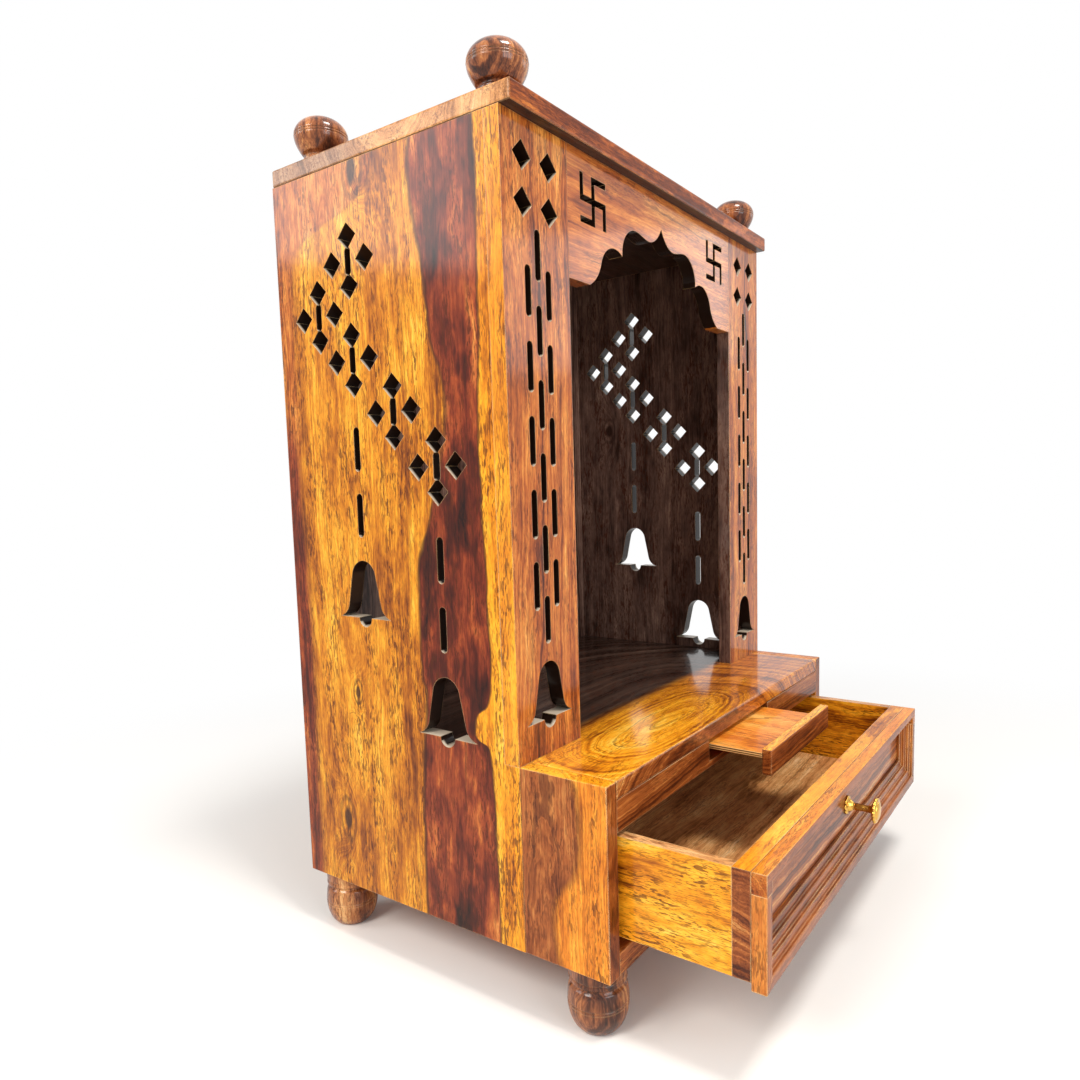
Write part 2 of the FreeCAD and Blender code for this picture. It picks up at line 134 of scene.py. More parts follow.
def through(points, count):
    """Smooth curve through all the points: each span is a cubic whose slope at a point is half the
    step between that point's two neighbours. Gives count points per span."""
    p = np.asarray(points, float)
    p = np.vstack([2 * p[0] - p[1], p, 2 * p[-1] - p[-2]])
    t = np.linspace(0, 1, count, endpoint=False)[:, None]
    a, b, c, d = p[:-3, None], p[1:-2, None], p[2:-1, None], p[3:, None]
    spans = 0.5 * (2 * b + (c - a) * t + (2 * a - 5 * b + 4 * c - d) * t ** 2
                   + (3 * b - a - 3 * c + d) * t ** 3)
    return np.vstack([spans.reshape(-1, p.shape[1]), p[-2]])


# %% [markdown]
# ## Turned feet and finials
#
# Each foot is turned on a lathe: a flat collar, a sunk neck, and a flattened ball with a few fine
# lines cut by the tip of a skew chisel. A lathe shape is one profile carried round an axis, so it
# is a function of height and angle. The profile is a smooth curve through a few radii, and the
# cut lines are narrow dips subtracted from it.

# %% Lathe work
LATHE_AROUND = 96
LATHE_PER_SPAN = 9


def turned(name, centre, profile, lines, body, node):
    """Radius(height) is a smooth curve through the profile, less a narrow bell-shaped dip at each
    line; the surface is (radius cos a, radius sin a, height) for a going once round."""
    curve = through(profile, LATHE_PER_SPAN)
    radius = curve[:, 0].clip(0, max(r for r, z in profile))
    height = curve[:, 1].clip(0, profile[-1][1])
    for at, depth, width in lines:
        radius = radius - depth * np.exp(-((height - at) / width) ** 2) * (radius > 2 * depth)
    radius = np.maximum(radius, 0)
    angle = np.linspace(0, 2 * np.pi, LATHE_AROUND, endpoint=False)
    grid = np.stack([radius[:, None] * np.cos(angle), radius[:, None] * np.sin(angle),
                     np.broadcast_to(height[:, None], (len(radius), LATHE_AROUND))], axis=-1)
    return skin(name, grid * MM + np.asarray(centre), body, [node], angle=60)


FOOT_PROFILE = [(0, 0), (12, 0), (19.2, 0.3), (22, 2.4), (26, 8), (29, 16), (30.3, 24), (30.5, 31), (29.8, 39),
                (28.8, 43.8), (27.4, 45.8), (26.2, 47.8), (27.4, 49.4), (28.8, 50.6), (29, 52.4), (28.6, 54.6),
                (28.8, 57), (29, 62), (29, 67.6), (28.6, 68), (15, 68), (0, 68)]
FOOT_LINES = [(26.5, 0.6, 0.6), (29.5, 0.8, 0.6), (55, 0.5, 0.5)]
FINIAL_PROFILE = [(0, 0), (12, 0), (20.1, 0.2), (20.5, 2), (20.5, 6.5), (19.6, 8.2), (18, 9.4), (17.8, 10.6),
                  (19, 11.8), (21, 12.7), (22.2, 13.8), (25.0, 18.2), (27.8, 24), (29.2, 29), (29.5, 32),
                  (28.7, 36.8), (26.5, 41.2), (22.6, 45.5), (17.4, 48.9), (11, 51.1), (5, 51.9), (0, 52)]
FINIAL_LINES = [(30.2, 0.7, 0.6), (33.0, 0.9, 0.6), (5.5, 0.3, 0.5)]

turned_pieces = []
for end in ("front", "back"):
    for side in ("left", "right"):
        for kind, profile, lines in (("foot", FOOT_PROFILE, FOOT_LINES),
                                     ("finial", FINIAL_PROFILE, FINIAL_LINES)):
            node = f"{kind}_{end}_{side}"
            low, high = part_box(node)
            centre = ((low.x + high.x) / 2, (low.y + high.y) / 2, low.z)
            turned_pieces.append(turned(f"turned_{node}", centre, profile, lines, "case",
                                        node))
print("turned pieces:", len(turned_pieces), "faces each:", len(turned_pieces[0].data.polygons))

# %% [markdown]
# ## The brass knob
#
# The knob is cast brass: a rose with small petals that spreads the pull on the wood, a thin stem,
# and a domed head with a fluted rim. A lathe profile would leave it plain, so the radius also
# waves with the angle: that one extra factor turns a disc into petals.

# %% Knob
KNOB_PER_SPAN = 8
PER_PETAL = 14
PETAL_ROUNDNESS = 0.8


def fluted(name, node, profile, petals, depth, rim):
    """Radius(t, a) = profile radius times 1 - depth * (1 - |cos(petals a / 2)| ** roundness) * w(t),
    where w is a bell over the profile's rim. The axis lies along -Y, from the node's back towards the
    viewer."""
    low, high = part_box(node)
    centre = np.array(((low.x + high.x) / 2, high.y, (low.z + high.z) / 2))
    curve = through(profile, KNOB_PER_SPAN)
    radius = curve[:, 0].clip(0, max(r for r, z in profile))
    out = curve[:, 1].clip(0, profile[-1][1])
    angle = np.linspace(0, 2 * np.pi, PER_PETAL * petals, endpoint=False)
    weight = np.exp(-((radius - rim[0]) / rim[1]) ** 2)[:, None]
    wave = 1 - np.abs(np.cos(petals * angle / 2)) ** PETAL_ROUNDNESS
    r = radius[:, None] * (1 - depth * wave * weight)
    grid = np.stack([r * np.cos(angle), -np.broadcast_to(out[:, None], r.shape), r * np.sin(angle)], axis=-1)
    return skin(name, grid * MM + centre, "drawer", [node], angle=50)


ROSE_PROFILE = [(0, 0), (6, 0), (10.6, 0), (11, 0.8), (10.4, 2), (8.6, 2.6), (7.4, 3.2), (6.6, 4.6), (5.2, 6.4),
                (4.2, 7.6), (3.9, 9), (2, 9), (0, 9)]
HEAD_PROFILE = [(0, 0), (3.8, 0), (3.9, 6), (3.7, 12), (4.2, 16.6), (6.4, 18.6), (10, 19.8), (13.4, 21.2),
                (14, 22.6), (13.4, 24), (11.4, 24.8), (10.2, 24.7), (9.2, 25.6), (6.4, 26.5), (3, 26.95), (0, 27)]
knob_rose = fluted("petalled_rose", "knob_rose", ROSE_PROFILE, 8, 0.16, (11, 2.6))
knob_head = fluted("fluted_head", "knob_head", HEAD_PROFILE, 12, 0.07, (14, 2.2))
print("knob faces:", len(knob_rose.data.polygons) + len(knob_head.data.polygons))

# %% [markdown]
# ## The stepped moulding of the drawer's face
#
# Three treads go down from the border to the field, like a tiny stair, and the bottom strip meets the
# uprights in mitres. The top strip has one tread and square ends. Each tread is a soft reed, not a
# sharp stair. A moulding is a section carried along a straight path whose two ends are cut by planes,
# so each corner of the section only needs to know how far it runs.

# %% Mouldings
REED_ROUND = 1.1
MOST_OF_A_SIDE = 0.45
FRONT_FROM = 0.3


def rounded(points, radius, steps=4):
    """Each corner of a closed outline becomes a short arc: a quadratic curve that leaves one side and
    joins the next at the given distance from the corner, or less where a side is short, with the
    corner as its handle."""
    p = np.asarray(points, float)
    before, after = np.roll(p, 1, axis=0) - p, np.roll(p, -1, axis=0) - p
    near, far = np.linalg.norm(before, axis=1), np.linalg.norm(after, axis=1)
    cut = np.minimum(radius, MOST_OF_A_SIDE * np.minimum(near, far))[:, None]
    start, end = p + before / near[:, None] * cut, p + after / far[:, None] * cut
    t = np.linspace(0, 1, steps + 1)[None, :, None]
    arcs = (1 - t) ** 2 * start[:, None] + 2 * t * (1 - t) * p[:, None] + t ** 2 * end[:, None]
    return arcs.reshape(-1, 2)


def stepped_section(width, depth, border, steps):
    """Outline of (in from the edge, out from the field): a flat border, then equal treads down."""
    tread = (width - border) / steps
    drop = depth / (steps + 1)
    stair = [(0, 0), (0, depth), (border, depth)]
    for step in range(steps):
        level = depth - (step + 1) * drop
        stair += [(border + step * tread, level), (border + (step + 1) * tread, level)]
    return stair + [(width, 0)]


def strip(name, node, inward, border, steps, mitres, returns=((0.0, 0.0),)):
    """Section carried along the strip's long axis. A point that lies d in from the edge starts d
    later at each mitred end, which is what a 45 degree cut does. Returns are (from the end, share of
    the full depth that the treads reach there), so that the upright below seems to run through."""
    low, high = (np.array(corner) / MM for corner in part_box(node))
    across = 2 if abs(inward[2]) else 0
    along = 0 if across == 2 else 2
    width, depth = high[across] - low[across], high[1] - low[1]
    section = rounded(stepped_section(width, depth, border, steps), REED_ROUND)
    start = low[along] + mitres[0] * section[:, 0]
    end = high[along] - mitres[1] * section[:, 0]
    off, share = np.array(returns).T[..., None]
    front = section[:, 1] > FRONT_FROM * depth
    height = np.where(front, np.maximum(section[:, 1], share * depth), section[:, 1])
    grid = np.zeros((2 * len(off), len(section), 3))
    grid[..., along] = np.vstack([start + off, end - off[::-1]])
    grid[..., 1] = high[1] - np.vstack([height, height[::-1]])
    edge = low[across] if inward[across] > 0 else high[across]
    grid[..., across] = edge + inward[across] * section[:, 0]
    return skin(name, grid * MM, "drawer", [node], angle=30)


TOP_RETURNS = ((0, 1), (12, 1), (12, 0.75), (21.5, 0.75), (21.5, 0.5), (31, 0.5), (31, 0))
STRIPS = [
    ("reeded_top", "moulding_top", (0, 0, -1), 10.0, 1, (0, 0), TOP_RETURNS),
    ("reeded_bottom", "moulding_bottom", (0, 0, 1), 12.0, 3, (1, 1)),
    ("reeded_left", "moulding_left", (1, 0, 0), 12.0, 3, (1, 0)),
    ("reeded_right", "moulding_right", (-1, 0, 0), 12.0, 3, (1, 0)),
]
strips = {name: strip(name, *rest) for name, *rest in STRIPS}
print("mouldings:", {name: len(piece.data.polygons) for name, piece in strips.items()})

# %% [markdown]
# ## Boards with eased edges
#
# A planed board never ends in a knife edge: the maker runs a bit of sandpaper along each arris, and
# the lacquer then catches a thin line of light there. A board with eased edges is a small ball
# swept over a box: the point on the ball that faces a direction, moved to the box's corner in that
# direction. Repeating the directions where they change sign leaves the flat faces in between.

# %% Eased boards
def eased_board(name, node, body, radius, steps=3):
    """Point(lat, lon) = corner(sign of the direction) + radius * direction, over the whole sphere."""
    low, high = (np.array(corner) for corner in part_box(node))
    middle, half = (low + high) / 2, (high - low) / 2
    ease = min(radius * MM, half.min() * MOST_OF_A_SIDE)
    quarter = np.linspace(0, np.pi / 2, steps + 1)
    lat = np.concatenate([quarter - np.pi / 2, quarter])
    lat_sign = np.repeat((-1.0, 1.0), steps + 1)
    lon = np.concatenate([quarter + k * np.pi / 2 for k in range(4)])
    sign_x = np.repeat((1.0, -1.0, -1.0, 1.0), steps + 1)
    sign_y = np.repeat((1.0, 1.0, -1.0, -1.0), steps + 1)
    shape = (len(lat), len(lon))
    direction = np.stack([np.cos(lat)[:, None] * np.cos(lon), np.cos(lat)[:, None] * np.sin(lon),
                          np.broadcast_to(np.sin(lat)[:, None], shape)], axis=-1)
    corner = np.stack([np.broadcast_to(sign_x, shape), np.broadcast_to(sign_y, shape),
                       np.broadcast_to(lat_sign[:, None], shape)], axis=-1)
    grid = middle + corner * (half - ease) + direction * ease
    return skin(name, grid, body, [node], smooth=False)


BOARDS = [
    ("desk_board", "case", "sheesham", 1.8), ("base_side_left", "case", "sheesham", 1.2),
    ("base_side_right", "case", "sheesham", 1.2), ("bottom_rail", "case", "dark_sheesham", 1.0),
    ("roof_board", "case", "sheesham", 2.2), ("back_panel", "case", "sheesham", 0.8),
    ("drawer_back", "drawer", "sheesham", 1.2), ("tray_board", "tray", "plywood", 0.6),
    ("tray_lip", "tray", "sheesham", 1.6),
]
boards = {node: eased_board(f"eased_{node}", node, body, radius)
          for node, body, slot, radius in BOARDS}
print("eased boards:", len(boards))

# %% [markdown]
# ## Sheesham, the wood
#
# Sheesham is Indian rosewood. Its sapwood is a warm yellow, its heartwood a red-brown with nearly
# black veins, and one plank often holds both, with a wandering border. The rings are cones stacked
# along the trunk, so a board shows stripes where it was cut through their flank and ovals where it
# grazed them. The material follows that: it bends space a little, measures the distance from the
# trunk's middle line, and looks up bands, rings and veins by that distance.

# %% A short way to write shader nodes
def tone(code):
    """Colour written as on a paint chip, six hexadecimal digits, as linear light."""
    channels = np.array([int(code[i:i + 2], 16) for i in (0, 2, 4)]) / 255
    return (*np.where(channels <= 0.04045, channels / 12.92, ((channels + 0.055) / 1.055) ** 2.4), 1.0)


class Bench:
    """Adds nodes to one material and joins them; a number or a colour stays on the socket."""

    def __init__(self, name):
        self.material = bpy.data.materials.new(name)
        self.material.use_nodes = True
        self.tree = self.material.node_tree
        self.shader = self.tree.nodes["Principled BSDF"]

    def add(self, kind, inputs=(), output=0, **settings):
        node = self.tree.nodes.new("ShaderNode" + kind)
        for key, value in settings.items():
            setattr(node, key, value)
        for socket, value in dict(inputs).items():
            self.feed(node.inputs[socket], value)
        return node.outputs[output]

    def feed(self, socket, value):
        if isinstance(value, bpy.types.NodeSocket):
            self.tree.links.new(value, socket)
        else:
            socket.default_value = value

    def math(self, operation, *values, clamp=False):
        return self.add("Math", enumerate(values), operation=operation, use_clamp=clamp)

    def times(self, first, second, clamp=False):
        return self.math("MULTIPLY", first, second, clamp=clamp)

    def minus(self, first, second):
        return self.math("SUBTRACT", first, second)

    def times_plus(self, value, gain, base):
        return self.math("MULTIPLY_ADD", value, gain, base)

    def vector(self, operation, *values):
        return self.add("VectorMath", enumerate(values), operation=operation)

    def scaled(self, vector, factors):
        return self.vector("MULTIPLY", vector, factors)

    def length(self, vector):
        return self.add("VectorMath", {0: vector}, output="Value", operation="LENGTH")

    def parts(self, vector):
        return self.add("SeparateXYZ", {0: vector}).node.outputs

    def looks(self):
        """Where the face looks: its true normal, as three numbers."""
        return self.parts(self.add("NewGeometry", output="True Normal"))

    def noise(self, vector, detail, rough, colour=False, scale=1.0):
        return self.add("TexNoise", {"Vector": vector, "Scale": scale, "Detail": detail, "Roughness": rough},
                        output="Color" if colour else 0)

    def layer(self, vector, waves, detail, rough, colour=False):
        return self.noise(self.scaled(vector, waves), detail, rough, colour)

    def noise_along(self, w, scale, detail, rough):
        return self.add("TexNoise", {"W": w, "Scale": scale, "Detail": detail, "Roughness": rough},
                        noise_dimensions="1D")

    def bump(self, height, strength, distance, **normal):
        return self.add("Bump", {"Strength": strength, "Distance": distance, "Height": height, **normal})

    def step(self, value, low, high):
        """0 at low, 1 at high, and soft between. A name that ends in EDGE holds such a pair."""
        return self.add("MapRange", {"Value": value, "From Min": low, "From Max": high},
                        interpolation_type="SMOOTHSTEP", clamp=True)

    def mix(self, share, first, second):
        return self.add("Mix", {0: share, 6: first, 7: second}, output=2, data_type="RGBA")

    def ramp(self, value, stops):
        node = self.add("ValToRGB", {0: value}).node
        band = node.color_ramp
        while len(band.elements) < len(stops):
            band.elements.new(0.5)
        for element, (at, code) in zip(band.elements, stops):
            element.position = at
            element.color = tone(code)
        return node.outputs[0]

    def line(self, value, points):
        """A smooth line through (value, result) points, for borders that wander along a plank."""
        p = np.asarray(points, float)
        (x0, y0), (x1, y1) = p.min(axis=0), p.max(axis=0)
        place = self.add("MapRange", {"Value": value, "From Min": x0, "From Max": x1}, clamp=True)
        node = self.add("FloatCurve", {"Value": place}).node
        curve = node.mapping.curves[0]
        ends = sorted(((x - x0) / (x1 - x0), (y - y0) / max(y1 - y0, 1e-9)) for x, y in points)
        curve.points[0].location, curve.points[1].location = ends[0], ends[-1]
        for x, y in ends[1:-1]:
            curve.points.new(x, y)
        node.mapping.update()
        return self.times_plus(node.outputs[0], y1 - y0, y0)


# %% [markdown]
# The palettes run from the darkest vein to the palest streak, and a plank names the ones that it
# needs. The shaded umber and the shade palettes are the wood darkened as painted shade, for faces
# inside the shrine, under the roof and at its back. The single tones below them are for marks on the
# wood: pores, veins, knots and the dark rim of the heartwood; then painted shade in the walls of a
# cut, painted light on its sill, and arrises made paler by wear and a painted highlight.

# %% Palettes
STOPS = (0.0, 0.25, 0.45, 0.65, 0.85, 1.0)


def palette(tones, stops=STOPS):
    """Pairs of place and tone, from the darkest vein to the palest streak."""
    return list(zip(stops, tones.split()))


SAP = palette("4e2006 8a480e b86c14 d0861c e4a02a f2b846", (0.0, 0.25, 0.45, 0.62, 0.8, 1.0))
GOLD = palette("703408 b0620e da8816 ec9e20 f4b032 f8c24e")
HEART = palette("1e0804 46160a 702a14 94421e ba662c d68a42")
RUSSET = palette("2e0e04 6e300e a0501a c0702a d88e3e e6a85a")
# The wood darkened as painted shade, for faces inside the shrine and the back panel.
SHADED_UMBER = palette("22140f 46322a 684e44 806254 967666 aa8a76")
LATHED = palette("1c0e09 4a2616 7c4628 9e6036 bf824c d6a268")
VENEER = palette("88400e bc641a dc8028 e69436 eea84c f4ba66")
AMBER = palette("56240a 964c10 ce761c e28e28 efa83a f6be54")
BROWN = palette("220a04 50220c 7a3c18 985224 b67036 cc8e4e")
BUFF = palette("6a3e20 9a6638 c08450 d29a60 dfae76 eac292")
SHADE = palette("0c0706 221814 352822 46362e 58453a 685446")
LONG_PORE, SHORT_PORE, VEIN_TONE, KNOT_CORE, DARK_RIM = "4c1e06", "3e1806", "331509", "2a120b", "2c100a"
# Painted shade for the walls of a cut and painted light for an upward sill; then an arris tone that is wear and a
# painted highlight.
WALL_SHADE, SILL_HIGHLIGHT, ARRIS_WEAR_AND_HIGHLIGHT = "20130d", "cbbba6", "ecc48a"
DARK_PLY, PALE_PLY = "5a3416", "e0b070"
print("palest tone of the sapwood:", SAP[-1][1], " darkest of the heartwood:", HEART[0][1])

# %% [markdown]
# Every layer of the figure is a noise stretched along the grain. Its first three numbers count waves
# per metre: along the grain, across it, and into the board. The last two are the noise's detail and
# roughness. Rings and veins have one count of waves each, because only the distance from the pith
# matters to them. The two reaches say how wide the bends swing, in metres.

# %% Scales of the figure
SWEEP = ((2.4, 8.0, 8.0), 2.0, 0.5)
WOBBLE = ((17.0, 46.0, 46.0), 3.0, 0.6)
FIBRE = ((16.0, 620.0, 620.0), 3.0, 0.6)
CLOUD = ((8.0, 24.0, 24.0), 3.0, 0.6)
CURL = ((46.0, 150.0, 150.0), 2.0, 0.6)
FLAME = ((8.0, 26.0, 26.0), 3.0, 0.6)
CROWD = ((10.0, 55.0, 55.0), 2.0, 0.5)
LONG_DASH = ((75.0, 420.0, 420.0), 1.5, 0.6)
SHORT_DASH = ((150.0, 1250.0, 1250.0), 1.0, 0.5)
SANDER = ((5.0, 26.0, 26.0), 1.0, 0.4)
RINGS, VEINS = (300.0, 3.0, 0.65), (95.0, 2.0, 0.5)
BANDS_DETAIL, BANDS_ROUGH = 2.0, 0.5
SWEEP_REACH, WOBBLE_REACH = 0.05, 0.011
AXES = {"X": 0, "Y": 1, "Z": 2}
HALF = (0.5, 0.5, 0.5)
print("shortest wave across the grain:", 1000 / SHORT_DASH[0][1], "mm")

# %% [markdown]
# A plank is painted in layers, and each layer below is one short function. The first turns the
# object's own coordinates into a timber merchant's words: along the grain, across the face and deep
# into the board. Two noises bend that space, a slow one for the sweep of the grain and a quick one
# for its wobble. The seed moves the noises, so that no two boards match.

# %% Where a point lies in the plank
SEED_STEP = (1.71, 2.93, 0.67)


def measure(b, grain, face, seed):
    """Leaves on the bench: axes, along, across and deep; spot, the three as one seeded vector; sweep
    and wobble, two bends in metres."""
    axes = b.parts(b.add("TexCoord", output="Object"))
    b.axes = {key: axes[AXES[key]] for key in AXES}
    width = (set(AXES) - {grain, face}).pop()
    b.along, b.across, b.deep = b.axes[grain], b.axes[width], b.axes[face]
    spot = b.add("CombineXYZ", {0: b.along, 1: b.across, 2: b.deep})
    b.spot = b.vector("ADD", spot, [seed * step for step in SEED_STEP])
    sweep = b.layer(b.spot, *SWEEP, colour=True)
    wobble = b.layer(b.spot, *WOBBLE, colour=True)
    b.sweep = b.scaled(b.vector("SUBTRACT", sweep, HALF), (SWEEP_REACH,) * 3)
    b.wobble = b.scaled(b.vector("SUBTRACT", wobble, HALF), (WOBBLE_REACH,) * 3)


# %% [markdown]
# Rings are cones stacked along the trunk, so what counts is how far a point lies from the trunk's
# middle line, the pith. It leans and bows along the board. Where a branch grew through, the rings
# flow round it: each knot simply adds a bump to that distance. A knot's core, its ring of bark and
# the bump all grow with its size, so their numbers are shares of that.

# %% How far from the pith
KNOT_OVAL, KNOT_SWAY = 0.55, 0.5
SWELL_HEIGHT, SWELL_REACH = 3.2, 2.2
CORE_EDGE, BARK_EDGE, BARK_TONE = (0.7, 0.35), (0.22, 0.06), 0.5


def cut_from_trunk(b, pith, bow, bow_at, knots):
    """r = distance from (pith across, pith deep + bow * (along - bow_at) ** 2) after both bends, plus
    a bell round each knot. Leaves r and knot, 1 in a knot's dark core and less in the thin ring of
    bark round it."""
    bend = b.parts(b.vector("ADD", b.sweep, b.wobble))
    lean = b.minus(b.along, bow_at)
    middle = b.times_plus(b.times(lean, lean), bow, pith[1])
    side = b.minus(b.math("ADD", b.across, bend[1]), pith[0])
    down = b.minus(b.math("ADD", b.deep, bend[2]), middle)
    b.r = b.length(b.add("CombineXYZ", {0: side, 1: down}))
    b.knot = 0.0
    for knot_along, knot_across, size in knots:
        du = b.times(b.minus(b.math("ADD", b.along, bend[0]), knot_along), KNOT_OVAL)
        dv = b.minus(b.times_plus(bend[1], KNOT_SWAY, b.across), knot_across)
        gap = b.length(b.add("CombineXYZ", {0: du, 1: dv}))
        falls = -1 / (SWELL_REACH * size) ** 2
        swell = b.math("EXPONENT", b.times(b.times(gap, gap), falls))
        b.r = b.times_plus(swell, SWELL_HEIGHT * size, b.r)
        core = b.step(gap, *(size * share for share in CORE_EDGE))
        off = b.math("ABSOLUTE", b.minus(gap, size))
        bark = b.times(b.step(off, *(size * share for share in BARK_EDGE)), BARK_TONE)
        b.knot = b.math("MAXIMUM", b.math("MAXIMUM", core, bark), b.knot)


# %% [markdown]
# The figure is one number for each point, the pick, that says how far up the palette its colour
# lies. Broad bands and fine rings follow the distance from the pith. Fibres run along the grain, and
# soft blotches and tight curls, which a polisher calls mottle, ignore the rings.

# %% The figure
MIDDLE = 0.52
BROAD_GAIN, RING_GAIN, FIBRE_GAIN, CLOUD_GAIN, CURL_GAIN = 1.4, 0.9, 0.55, 1.2, 0.6


def figure(b, bands, stripes, mottle):
    """pick = middle + stripes * (bands + rings) + fibre + mottle * (cloud + curl), each about zero."""
    b.fibre = b.layer(b.spot, *FIBRE)
    b.cloud = b.layer(b.spot, *CLOUD)
    curl = b.layer(b.vector("ADD", b.spot, b.wobble), *CURL)
    broad = b.noise_along(b.r, bands, BANDS_DETAIL, BANDS_ROUGH)
    rings = b.noise_along(b.r, *RINGS)
    layers = [(broad, BROAD_GAIN * stripes), (rings, RING_GAIN * stripes), (b.fibre, FIBRE_GAIN),
              (b.cloud, CLOUD_GAIN * mottle), (curl, CURL_GAIN * mottle)]
    b.pick = MIDDLE
    for layer, gain in layers:
        b.pick = b.times_plus(b.minus(layer, 0.5), gain, b.pick)


# %% [markdown]
# Heartwood has hardly any stripes here. It glows in orange clouds over red-brown, and it is nearly
# black along the line where it meets the sapwood. Each border is a line that wanders along the board,
# and past it the wood is another one.

# %% Sapwood and heartwood
SWIRL, FLAME_MIDDLE, FLAME_GAIN = 60.0, 0.53, 2.5
CALM_SHARE, CALM_BASE = 0.5, 0.22
BORDER_SWAY = 0.8
RIM_HALF, RIM_FADE = 0.4 * MM, 1.4


def woods(b, light, borders):
    """Colour = light palette at pick; past each border, in turn, its own palette, at pick if it is
    striped or else at half of pick plus a broad flame. Each border has its share of dark rim."""
    b.colour = b.ramp(b.pick, light)
    if not borders:
        return
    wander = b.parts(b.wobble)[1]
    waves, detail, rough = FLAME
    swirl = b.vector("ADD", b.scaled(b.spot, waves), b.scaled(b.wobble, (SWIRL,) * 3))
    flame = b.minus(b.noise(swirl, detail, rough), FLAME_MIDDLE)
    clouded = b.times_plus(flame, FLAME_GAIN, b.times_plus(b.pick, CALM_SHARE, CALM_BASE))
    rim = 0.0
    for points, softness, tones, striped, edge in borders:
        swaying = b.times_plus(wander, BORDER_SWAY, b.across)
        past = b.minus(swaying, b.line(b.along, points))
        beyond = b.ramp(b.pick if striped else clouded, tones)
        b.colour = b.mix(b.step(past, -softness, softness), b.colour, beyond)
        off = b.step(b.math("ABSOLUTE", past), RIM_HALF, RIM_HALF + RIM_FADE * softness)
        rim = b.math("MAXIMUM", rim, b.times(b.minus(1.0, off), edge))
    b.colour = b.mix(rim, b.colour, tone(DARK_RIM))


# %% [markdown]
# Sheesham's pores fill with dark polish. From a step away they read as thousands of short brown
# dashes, thicker in some places than in others, and they do more for the look than the rings do.
# Two sizes of dash come from long, thin noises cut off near their tops. A few thin dark veins follow
# the rings.

# %% Dashes and veins
CROWD_EDGE, LONG_EDGE, SHORT_EDGE = (0.38, 0.62), (0.545, 0.585), (0.57, 0.62)
LONG_IN_CROWD, SHORT_IN_CROWD = (0.8, 0.1), (0.45, 0.4)
VEIN_EDGE, CLOUD_EDGE = (0.004, 0.022), (0.45, 0.62)
LONG_SHARE, SHORT_SHARE, VEIN_SHARE, KNOT_SHARE = 0.74, 0.75, 0.45, 0.9


def dashes(b, amount):
    """Mixes in two sizes of dash, the veins and the knots' cores. Leaves dash and crowd."""
    bent = b.vector("ADD", b.spot, b.scaled(b.wobble, HALF))
    b.crowd = b.step(b.layer(bent, *CROWD), *CROWD_EDGE)
    long_ones = b.step(b.layer(bent, *LONG_DASH), *LONG_EDGE)
    short_ones = b.step(b.layer(bent, *SHORT_DASH), *SHORT_EDGE)
    long_ones = b.times(long_ones, b.times_plus(b.crowd, *LONG_IN_CROWD))
    short_ones = b.times(short_ones, b.times_plus(b.crowd, *SHORT_IN_CROWD))
    for ones, share, pore in ((long_ones, LONG_SHARE, LONG_PORE), (short_ones, SHORT_SHARE, SHORT_PORE)):
        b.colour = b.mix(b.times(ones, share * amount, clamp=True), b.colour, tone(pore))
    b.dash = b.math("MAXIMUM", long_ones, short_ones)
    vein = b.math("ABSOLUTE", b.minus(b.noise_along(b.r, *VEINS), 0.5))
    vein = b.minus(1.0, b.step(vein, *VEIN_EDGE))
    vein = b.times(vein, b.step(b.cloud, *CLOUD_EDGE))
    b.colour = b.mix(b.times(vein, VEIN_SHARE), b.colour, tone(VEIN_TONE))
    b.colour = b.mix(b.times(b.knot, KNOT_SHARE), b.colour, tone(KNOT_CORE))


# %% [markdown]
# A board's edge is cut across other wood than its face, so some edges need a palette of their own.
# The same turn also paints light and shade by where a face looks: a top that looks up is painted
# lighter, as painted light, and a front or an inside face is painted darker, as painted shade. The
# walls of the piercing are painted dark, as painted shade, while a sill that looks up is painted
# pale, as painted light: all of it where it lies level, as under a bell, and only its outer lip
# where it slopes.

# %% Edges and cut walls
TURN_EDGE, WALL_EDGE, INSET = (0.5, 0.8), (0.8, 0.4), (1.2 * MM, 1.8 * MM)
LEVEL_EDGE, LIP_EDGE, UPWARD_EDGE = (0.85, 0.97), (5 * MM, 2 * MM), (0.35, 0.6)


def turn(b, axis, sign, tones):
    """Faces that look along one axis take their colour from another palette."""
    looks = b.times(b.looks()[AXES[axis]], sign)
    b.colour = b.mix(b.step(looks, *TURN_EDGE), b.colour, b.ramp(b.pick, tones))


def cut_walls(b, node, face, outer):
    """Wall = faces that don't look along the board's face axis, more than 1.5 mm inside its outline.
    outer is -1 where the shown face is the board's low side on that axis, and 1 where it is the high."""
    low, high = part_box(node)
    looks = b.looks()
    wall = b.step(b.math("ABSOLUTE", looks[AXES[face]]), *WALL_EDGE)
    for axis in sorted(set(AXES) - {face}):
        at = AXES[axis]
        off = b.math("ABSOLUTE", b.minus(b.axes[axis], (low[at] + high[at]) / 2))
        half = (high[at] - low[at]) / 2
        wall = b.times(wall, b.step(off, *(half - inset for inset in INSET)))
    shown = (low if outer < 0 else high)[AXES[face]]
    depth = b.math("ABSOLUTE", b.minus(b.axes[face], shown))
    pale = b.math("MAXIMUM", b.step(looks[2], *LEVEL_EDGE), b.step(depth, *LIP_EDGE))
    pale = b.times(pale, b.step(looks[2], *UPWARD_EDGE))
    # Walls get painted shade, and the sills that look up get painted light.
    b.colour = b.mix(wall, b.colour, b.mix(pale, tone(WALL_SHADE), tone(SILL_HIGHLIGHT)))


# %% [markdown]
# The tray and the drawer's bottom are plywood. On the face it is a rotary-cut veneer with broad,
# wavy figure, which the layers above give when the pith lies just under the sheet. On the edge it
# shows its plies, light and dark in turn, as a stripe pattern across the sheet's thickness.

# %% Plywood edges
SIDEWAYS_EDGE, PLY_EDGE = (0.7, 0.3), (-0.3, 0.3)


